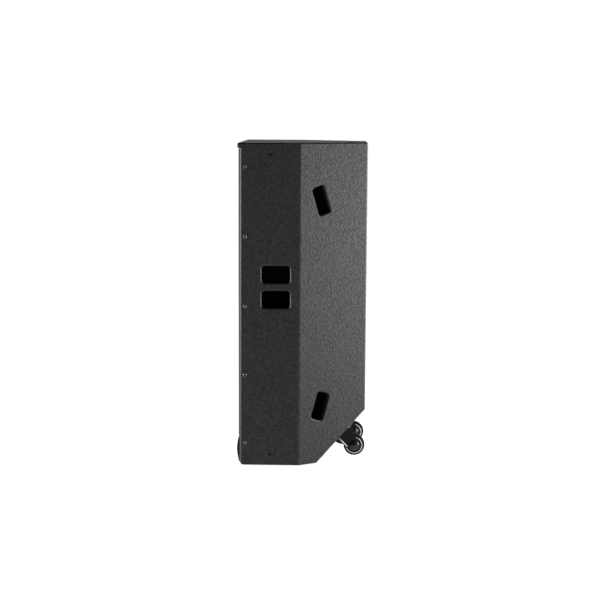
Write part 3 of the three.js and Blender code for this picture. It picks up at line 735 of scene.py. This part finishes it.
def tyre_mesh(side):
    """A moulded tread with rounded shoulders and a fine parting groove round the middle."""
    bm = bmesh.new()
    outer = [(34.5, -12.8), (32.4, -13.4), (32.6, -14.5), (33.6, -15.1), (35.4, -15.2), (37.2, -14.6),
             (38.6, -13.0), (39.4, -10.0), (39.85, -6.5), (40.0, -3.0), (39.4, -2.7), (39.4, -2.1),
             (40.0, -1.8)]
    profile = [(r * MM, h * MM) for r, h in outer] + [(r * MM, -h * MM) for r, h in reversed(outer)]
    revolve_into(bm, profile, 96, wheel_place(side))
    tyre = new_object(f"tyre_moulded_{side}", bm)
    bevel(tyre, 0.3 * MM, 2, 40)
    return tyre


def hub_mesh(side):
    """Boss, web and a rounded rim on each face."""
    bm = bmesh.new()
    place = wheel_place(side)
    half = [(4.6, -15.8), (9.6, -15.8), (11.0, -14.6), (12.4, -6.4), (26.4, -5.6), (27.4, -12.0),
            (27.9, -14.0), (28.9, -15.3), (30.2, -15.6), (31.4, -15.0), (32.2, -13.2), (34.2, -12.4)]
    profile = [(r * MM, h * MM) for r, h in half] + [(r * MM, -h * MM) for r, h in reversed(half)]
    revolve_into(bm, profile, 96, place)
    hub = new_object(f"hub_moulded_{side}", bm)
    hub.data.materials.append(LOOKS["wheel_hub"])
    hub.data.materials.append(RIM_GREY_AND_BEAD_HIGHLIGHT_LOOK)
    centre = place.translation
    for polygon in hub.data.polygons:
        arm = Vector(polygon.center) - centre
        if math.hypot(arm.y, arm.z) > RIM_START:
            polygon.material_index = 1
    bevel(hub, 0.4 * MM, 2, 40)
    return hub


def hub_ribs(side):
    bm = bmesh.new()
    place = wheel_place(side)
    start, end = RIB_REACH
    for k in range(RIB_COUNT):
        turned = place @ Matrix.Rotation(k * 2 * math.pi / RIB_COUNT, 4, "Z")
        for face in (-1, 1):
            foot = face * RIB_FOOT
            corners = ((start, -RIB_HALF), (end, -RIB_HALF), (end, RIB_HALF), (start, RIB_HALF))
            ring = [turned @ Vector((x, y, foot)) for x, y in corners]
            prism_into(bm, ring, turned.to_3x3() @ Vector((0, 0, face * RIB_RISE)))
    ribs = new_object(f"hub_ribs_{side}", bm, False)
    bevel(ribs, 0.6 * MM, 2)
    return ribs


def caster_matrix(side):
    """Local x across the cabinet, y up the slanted panel, z away from it; origin under the plate's middle."""
    lo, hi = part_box(f"caster_bracket_{side}")
    foot = Vector(((lo.x + hi.x) / 2, SLANT_Y, BASE)) + UP_SLANT * CASTER_ALONG
    return Matrix((
        (1, 0, 0, foot.x),
        (0, UP_SLANT.y, OUT_OF_SLANT.y, foot.y),
        (0, UP_SLANT.z, OUT_OF_SLANT.z, foot.z),
        (0, 0, 0, 1),
    ))


def leg_edge():
    """One edge of a fork leg as (y, z) pairs: a flared gusset at the plate, then straight to the axle."""
    corner = Vector((LEG_HALF, GUSSET_DROP))
    root = Vector((GUSSET_HALF, CASTER_PLATE[2] / 2))
    shoulder = root.lerp(corner, 0.62) + Vector((2.5 * MM, 0))
    return [tuple(root), tuple(shoulder), tuple(corner)]


def tube_into(bm, path, radius, matrix, sides=12):
    """A round bar along a path of local points that lies in one plane of constant x."""
    rows = []
    for i, point in enumerate(path):
        before, after = path[max(i - 1, 0)], path[min(i + 1, len(path) - 1)]
        run = (Vector(after) - Vector(before)).normalized()
        across = run.cross(Vector((1, 0, 0)))
        rows.append([
            bm.verts.new(matrix @ (Vector(point) + Vector((1, 0, 0)) * radius * math.cos(angle)
                                   + across * radius * math.sin(angle)))
            for angle in (2 * math.pi * k / sides for k in range(sides))
        ])
    for a, b in zip(rows, rows[1:]):
        for k in range(sides):
            m = (k + 1) % sides
            bm.faces.new((a[k], a[m], b[m], b[k]))
    bm.faces.new(rows[0])
    bm.faces.new(rows[-1])


def caster_fork(side):
    """Pressed steel: a plate and two flared legs with rounded ends."""
    matrix = caster_matrix(side)
    turn = matrix.to_3x3()
    bm = bmesh.new()
    width, length, thickness = CASTER_PLATE
    ring = rounded_ring(width, length, 6 * MM)
    prism_into(bm, [matrix @ Vector((a, b, 0.3 * MM)) for a, b in ring], turn @ Vector((0, 0, thickness)))
    edge = leg_edge()
    tip = []
    for k in range(13):
        angle = math.pi * k / 12
        tip.append((LEG_HALF * math.cos(angle), AXLE_DROP + LEG_HALF * math.sin(angle)))
    outline = edge + tip + [(-a, b) for a, b in reversed(edge)]
    for sign in (1, -1):
        points = [matrix @ Vector((sign * FORK_INNER, a, b)) for a, b in outline]
        prism_into(bm, points, Vector((sign * FORK_SHEET, 0, 0)))
    fork = new_object(f"pressed_fork_{side}", bm, False)
    bevel(fork, 0.7 * MM, 3, 40)
    return fork


def fork_domes(side):
    """The pressed dome over each end of the axle."""
    matrix = caster_matrix(side)
    bm = bmesh.new()
    base = math.sqrt(DOME_SPHERE ** 2 - DOME_RADIUS ** 2)
    rise = [(DOME_RADIUS, -0.4)]
    for step in range(DOME_RADIUS, -1, -1):
        rise.append((step, math.sqrt(DOME_SPHERE ** 2 - step ** 2) - base))
    rise.append((0, -0.4))
    for sign in (1, -1):
        spot = matrix @ Vector((sign * (FORK_INNER + FORK_SHEET), 0, AXLE_DROP))
        place = Matrix.Translation(spot) @ Matrix.Rotation(sign * math.pi / 2, 4, "Y")
        revolve_into(bm, [(r * MM, h * MM) for r, h in rise], 64, place)
    return new_object(f"fork_domes_{side}", bm)


def fork_beads(side):
    """The raised bead pressed into each leg just inside its front edge."""
    matrix = caster_matrix(side)
    bm = bmesh.new()
    bead_y = BEAD_SETBACK - LEG_HALF
    for sign in (1, -1):
        x = sign * (FORK_INNER + FORK_SHEET)
        path = [(x, bead_y, z) for z in (10 * MM, 30 * MM, AXLE_DROP - 20 * MM, AXLE_DROP - 15 * MM)]
        tube_into(bm, path, BEAD_RADIUS, matrix)
    return new_object(f"fork_beads_{side}", bm)


def caster_screws(side):
    """Four domed screws through the caster's plate."""
    matrix = caster_matrix(side)
    bm = bmesh.new()
    rise = 2.6 * MM
    radius = 5.2 * MM
    profile = [(0, rise)]
    profile += [(radius * s, rise * math.sqrt(1 - s * s * 0.85)) for s in (0.3, 0.6, 0.8, 0.95)]
    profile += [(radius, 0.2 * MM), (radius * 1.35, 0.1 * MM), (radius * 1.35, -0.8 * MM), (0, -0.8 * MM)]
    across, along = PLATE_SCREWS
    for dx in (-across, across):
        for ds in (-along, along):
            spot = Matrix.Translation((dx, ds, CASTER_PLATE[2] + 0.3 * MM))
            revolve_into(bm, profile, 28, matrix @ spot)
    return new_object(f"caster_screws_{side}", bm)


for side, _ in SIDES:
    body = f"wheel_{side}"
    add_piece(tyre_mesh(side), body, "rubber", [f"wheel_tyre_{side}"])
    add_piece(hub_mesh(side), body, "wheel_hub", [f"wheel_hub_{side}"])
    add_piece(hub_ribs(side), body, "wheel_hub")
    add_piece(caster_fork(side), "cabinet", "black_steel", [f"caster_bracket_{side}"], FORK_LOOK)
    add_piece(fork_domes(side), "cabinet", "black_steel", look=DOME_LOOK)
    # The beads are coloured pale grey as a painted highlight along the legs' front edges.
    add_piece(fork_beads(side), "cabinet", "black_steel", look=RIM_GREY_AND_BEAD_HIGHLIGHT_LOOK)
    add_piece(caster_screws(side), "cabinet", "plated_steel")


# ---------------------------------------------------------------- front bumpers
BUMPER_RIM = 1.2 * MM
BUMPER_SHOULDER = 6 * MM
BUMPER_ROWS = 28
BUMPER_COLUMNS = 16


def bumper_pad(side, sign):
    """A rubber pad beside the rounded edge: an arc from top to bottom, with thin shoulders across."""
    low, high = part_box(f"front_bumper_{side}")
    inner = low.x if sign > 0 else high.x
    outer = sign * (HALF - ROUNDING)
    left, right = sorted((inner, outer))
    half = (high.z - low.z) / 2
    proud = FRONT - low.y - BUMPER_RIM
    radius = (half ** 2 + proud ** 2) / (2 * proud)
    back = high.y
    bm = bmesh.new()
    rows = []
    for step in range(BUMPER_ROWS + 1):
        z = half * math.sin(math.pi * (step / BUMPER_ROWS - 0.5))
        swell = math.sqrt(radius ** 2 - z ** 2) - (radius - proud)
        row = []
        for column in range(BUMPER_COLUMNS + 1):
            x = left + (right - left) * (1 - math.cos(math.pi * column / BUMPER_COLUMNS)) / 2
            near_end = max(0.0, 1 - min(x - left, right - x) / BUMPER_SHOULDER)
            y = back - BUMPER_RIM - swell * math.sqrt(1 - near_end ** 2)
            row.append(bm.verts.new((x, y, low.z + half + z)))
        rows.append(row)
    for a, b in zip(rows, rows[1:]):
        for k in range(BUMPER_COLUMNS):
            bm.faces.new((a[k], a[k + 1], b[k + 1], b[k]))
    rim = bmesh.ops.extrude_face_region(bm, geom=bm.faces[:])
    for vert in (v for v in rim["geom"] if isinstance(v, bmesh.types.BMVert)):
        vert.co.y = back
    return new_object(f"bumper_pad_{side}", bm)


for side, sign in SIDES:
    add_piece(bumper_pad(side, sign), "cabinet", "rubber", [f"front_bumper_{side}"])


# ---------------------------------------------------------------- rear connections
def dish_place(node):
    lo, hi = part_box(node)
    centre = (lo + hi) / 2
    return Matrix.Translation((centre.x, lo.y, centre.z)) @ Matrix.Rotation(-math.pi / 2, 4, "X")


def socket_mesh(name, node):
    """A round twist-lock socket: flange, guard ring, keyed well and centre post."""
    bm = bmesh.new()
    place = dish_place(node)
    low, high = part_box(node)
    top = high.y - low.y
    body = [(0, 0), (12.4, 0)]
    face = [(12.4, -2.8), (16.9, -2.8), (17.0, -0.9), (16.2, -0.2), (12.6, 0), (11.6, -0.6)]
    well = [(11.4, -14), (5.2, -14), (5.0, -3.0), (4.2, -2.2), (0, -2.2)]
    profile = [(r * MM, h * MM) for r, h in body] + [(r * MM, top + h * MM) for r, h in face + well]
    revolve_into(bm, profile, 56, place)
    socket = new_object(name, bm)
    keys = bmesh.new()
    for k, width in ((0, 3.2), (2.6, 2.0), (4.0, 2.0)):
        turned = place @ Matrix.Rotation(k, 4, "Z")
        w = width * MM / 2
        ring = [turned @ Vector(p) for p in ((8 * MM, -w, top - 10 * MM), (13.4 * MM, -w, top - 10 * MM),
                                            (13.4 * MM, w, top - 10 * MM), (8 * MM, w, top - 10 * MM))]
        prism_into(keys, ring, turned.to_3x3() @ Vector((0, 0, 14 * MM)))
    cutter = new_object("keys", keys, False)
    socket = cut(socket, cutter)
    socket.data.materials.clear()
    bevel(socket, 0.25 * MM, 2, 40)
    return socket


def knob_mesh(name, node):
    """A skirted selector knob with flutes and a raised pointer."""
    bm = bmesh.new()
    lo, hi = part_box(node)
    centre = (lo + hi) / 2
    place = Matrix.Translation((centre.x, DISH_FLOOR, centre.z)) @ Matrix.Rotation(-math.pi / 2, 4, "X")
    segments = 72
    rings = ((0, 1.9, 0), (9.9, 1.9, 0), (10.0, 2.6, 0), (9.7, 3.6, 0), (8.6, 4.2, 1), (8.4, 12.6, 1),
             (7.9, 13.7, 1), (7.0, 14.0, 0), (0, 14.0, 0))
    rows = []
    for radius, height, fluted in rings:
        if radius == 0:
            rows.append([bm.verts.new(place @ Vector((0, 0, height * MM)))])
            continue
        row = []
        for k in range(segments):
            angle = 2 * math.pi * k / segments
            r = radius - (0.35 * (1 + math.cos(18 * angle)) if fluted else 0)
            point = Vector((r * MM * math.cos(angle), r * MM * math.sin(angle), height * MM))
            row.append(bm.verts.new(place @ point))
        rows.append(row)
    stitch_rings(bm, list(zip(rows, rows[1:])), segments)
    knob = new_object(name, bm)
    bevel(knob, 0.2 * MM, 2, 40)
    return knob


def pointer_mesh(name, node):
    bm = bmesh.new()
    lo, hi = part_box(node)
    centre = (lo + hi) / 2
    ring = rounded_ring(1.6 * MM, 8.5 * MM, 0.7 * MM, 4)
    points = [(centre.x + a, DISH_FLOOR + 13.8 * MM, centre.z + 4.4 * MM + b) for a, b in ring]
    prism_into(bm, points, Vector((0, 0.9 * MM, 0)))
    pointer = new_object(name, bm, False)
    bevel(pointer, 0.15 * MM, 2)
    return pointer


POINTER_LOOK = surface("pointer_look", (0.55, 0.55, 0.53), (0.68, 0.68, 0.66), (0.4, 0.55), 0.0,
                       (900, 120), 0.1, 0.0001)
for i in (1, 2):
    add_piece(socket_mesh(f"twist_socket_{i}", f"speaker_socket_{i}"), "cabinet", "moulded_plastic",
              [f"speaker_socket_{i}"])
add_piece(knob_mesh("selector_knob", "mode_switch"), "selector", "moulded_plastic", ["mode_switch"])
add_piece(pointer_mesh("selector_pointer", "mode_switch"), "selector", "moulded_plastic", look=POINTER_LOOK)
DISH_SCREWS = (81 * MM, 66 * MM)
for i, (sx, sz) in enumerate(((-1, -1), (1, -1), (1, 1), (-1, 1)), 1):
    spot = Vector((sx * DISH_SCREWS[0], DISH_HI.y, (DISH_LO.z + DISH_HI.z) / 2 + sz * DISH_SCREWS[1]))
    place = Matrix.Translation(spot) @ Matrix.Rotation(-math.pi / 2, 4, "X")
    screw = cross_screw(f"dish_screw_{i}", place, 4.0 * MM, 1.6 * MM)
    add_piece(screw, "cabinet", "plated_steel", look=LOOKS["black_steel"])


# ---------------------------------------------------------------- CAD nodes that stay
ROUNDED = {
    "handle_cup": 2.5, "slot_cup": 2.0, "foot": 1.0, "caster_axle": 0.5,
    "rigging_plug": 0.4, "connection_dish": 1.0, "horn_flare": 0.8, "woofer": 0.6,
    "compression_driver": 0.8, "crossover_board": 0.3, "baffle_board": 0.8, "grille_foam": 1.5,
}
SLOT_OF = {s["node"]: s["material_slot"] for s in frame["record"]["subparts"]}
for name, node in NODES.items():
    if node.hide_render:
        continue
    look = LOOKS[SLOT_OF[name]]
    # The cups take the near-black look, which paints shade into the recesses.
    if "_cup_" in name:
        look = CUP_PAINTED_SHADE_LOOK
    elif name.startswith("caster_axle") or name.startswith("rigging_plug"):
        look = FORK_LOOK
    dress(node, look)
    for start, width in ROUNDED.items():
        if name.startswith(start):
            bevel(node, width * MM, 3 if width > 0.9 else 2, 35)


# ---------------------------------------------------------------- floor, light and camera
FLOOR_GLOW_NEAR = 0.92
FLOOR_GLOW_FAR = 1.0


def make_floor():
    """A pale floor that glows a little by itself, as a lit studio sweep does."""
    bm = bmesh.new()
    bmesh.ops.create_grid(bm, x_segments=1, y_segments=1, size=60)
    floor = new_object("floor", bm, False)
    material, tree, shader = node_material("floor_look")
    coords = tree.nodes.new("ShaderNodeTexCoord").outputs["Object"]
    soft = noise(tree, coords, 1.5, 2.0)
    colour = blend_colours(tree, soft, (0.42, 0.42, 0.42), (0.46, 0.46, 0.46))
    tree.links.new(colour, shader.inputs["Base Color"])
    shader.inputs["Roughness"].default_value = 0.9
    shader.inputs["Specular IOR Level"].default_value = 0.1
    shader.inputs["Emission Color"].default_value = (1, 1, 1, 1)
    distance = tree.nodes.new("ShaderNodeVectorMath")
    distance.operation = "LENGTH"
    tree.links.new(coords, distance.inputs[0])
    glow = spread(tree, distance.outputs["Value"], 1.5, 5.0, FLOOR_GLOW_NEAR, FLOOR_GLOW_FAR)
    tree.links.new(glow, shader.inputs["Emission Strength"])
    floor.data.materials.append(material)


def area_light(name, power, size, place, target):
    data = bpy.data.lights.new(name, "AREA")
    data.energy = power
    data.shape = "RECTANGLE"
    data.size, data.size_y = size
    lamp = bpy.data.objects.new(name, data)
    bpy.context.scene.collection.objects.link(lamp)
    lamp.location = place
    lamp.rotation_mode = "QUATERNION"
    lamp.rotation_quaternion = (Vector(target) - Vector(place)).to_track_quat("-Z", "Y")
    lamp.visible_camera = False


WORLD_LIGHT = 0.06


def make_world():
    world = bpy.data.worlds.new("studio")
    bpy.context.scene.world = world
    world.use_nodes = True
    tree = world.node_tree
    tree.nodes.clear()
    seen = tree.nodes.new("ShaderNodeBackground")
    seen.inputs["Color"].default_value = (1, 1, 1, 1)
    seen.inputs["Strength"].default_value = 1.0
    lit = tree.nodes.new("ShaderNodeBackground")
    lit.inputs["Color"].default_value = (1, 1, 1, 1)
    lit.inputs["Strength"].default_value = WORLD_LIGHT
    path = tree.nodes.new("ShaderNodeLightPath")
    mix = tree.nodes.new("ShaderNodeMixShader")
    out = tree.nodes.new("ShaderNodeOutputWorld")
    tree.links.new(path.outputs["Is Camera Ray"], mix.inputs[0])
    tree.links.new(lit.outputs[0], mix.inputs[1])
    tree.links.new(seen.outputs[0], mix.inputs[2])
    tree.links.new(mix.outputs[0], out.inputs[0])


CAMERA_AZIMUTH = 91.517
CAMERA_ELEVATION = 7.872
CAMERA_ROLL = 0.310
CAMERA_DISTANCE = 5.2945
CAMERA_TARGET = Vector((0, -0.01395, 0.5875))
FOCAL_LENGTH = 82.347


def make_camera():
    azimuth, elevation = math.radians(CAMERA_AZIMUTH), math.radians(CAMERA_ELEVATION)
    back = Vector((math.sin(azimuth) * math.cos(elevation), -math.cos(azimuth) * math.cos(elevation),
                   math.sin(elevation)))
    right = (-back).cross(Vector((0, 0, 1))).normalized()
    up = right.cross(-back)
    roll = math.radians(CAMERA_ROLL)
    right, up = right * math.cos(roll) + up * math.sin(roll), up * math.cos(roll) - right * math.sin(roll)
    data = bpy.data.cameras.new("camera")
    data.lens = FOCAL_LENGTH
    data.sensor_width = 36
    data.clip_end = 100
    camera = bpy.data.objects.new("camera", data)
    bpy.context.scene.collection.objects.link(camera)
    camera.matrix_world = Matrix((
        (right.x, up.x, back.x, 0), (right.y, up.y, back.y, 0), (right.z, up.z, back.z, 0), (0, 0, 0, 1)))
    camera.location = CAMERA_TARGET + back * CAMERA_DISTANCE
    bpy.context.scene.camera = camera


make_floor()
make_world()
make_camera()
area_light("rear_right", 132, (1.3, 1.8), (0.28, 2.5, 0.70), (0.1, 0.1, 0.50))
area_light("front_strip", 118, (0.5, 1.8), (0.48, -3.0, 0.95), (0.2, -0.2, 0.6))
area_light("backdrop", 46, (7.0, 1.8), (-4.5, 0.0, 1.9), (0, 0, 1.2))
scene = bpy.context.scene
scene.view_settings.view_transform = "Standard"
scene.view_settings.look = "None"
